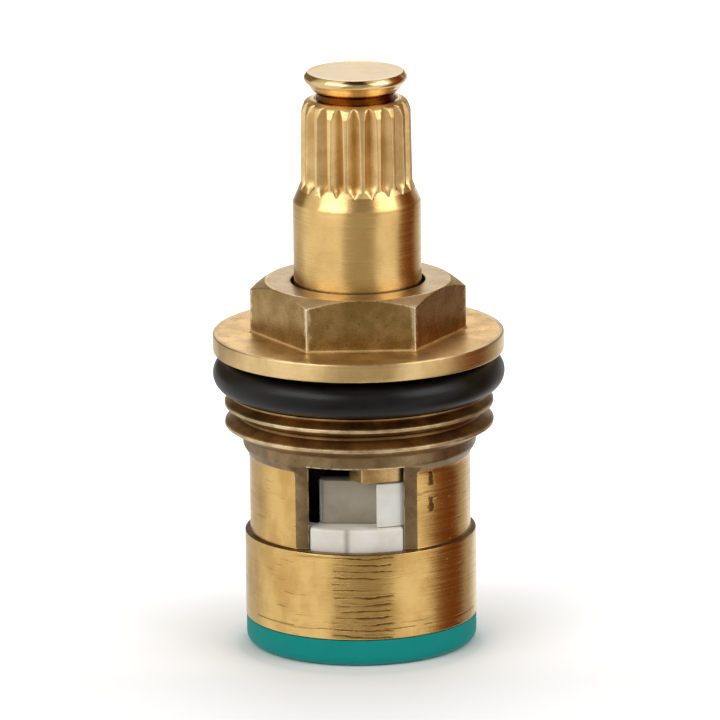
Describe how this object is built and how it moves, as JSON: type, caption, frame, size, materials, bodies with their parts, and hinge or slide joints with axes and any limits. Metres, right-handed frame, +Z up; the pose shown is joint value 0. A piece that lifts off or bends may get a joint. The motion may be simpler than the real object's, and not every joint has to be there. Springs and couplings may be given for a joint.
{
  "type": "ceramic disc tap cartridge",
  "caption": "Quarter-turn ceramic disc tap cartridge: brass bonnet with hexagon, flange and windowed cage, splined spindle, ceramic discs and rubber inlet seal.",
  "frame": {"origin": "middle of the inlet seal's bottom face", "axes": "+Z up the spindle's axis, towards its button; -Y out of the window that the picture shows"},
  "size_m": [0.0216, 0.0216, 0.0432],
  "materials": {
    "bonnet_brass": "turned, satin",
    "spindle_brass": "turned, satin to bright",
    "black_rubber": "soft sheen",
    "teal_rubber": "matte",
    "ceramic": "ground, satin",
    "acetal": "moulded, satin"
  },
  "bodies": {
    "bonnet": {"valve_body": "bonnet_brass", "flange_o_ring": "black_rubber", "friction_washer": "acetal", "fixed_disc": "ceramic", "inlet_seal": "teal_rubber", "seal_support_ring": "acetal"},
    "spindle": {"spindle": "spindle_brass", "spindle_o_ring_upper": "black_rubber", "spindle_o_ring_lower": "black_rubber", "moving_disc": "ceramic"}
  },
  "joints": [
    {"name": "spindle_turn", "type": "hinge", "parent": "bonnet", "child": "spindle", "pos_m": [0, 0, 0], "axis": [0, 0, 1], "range_deg": [-90, 0]}
  ]
}
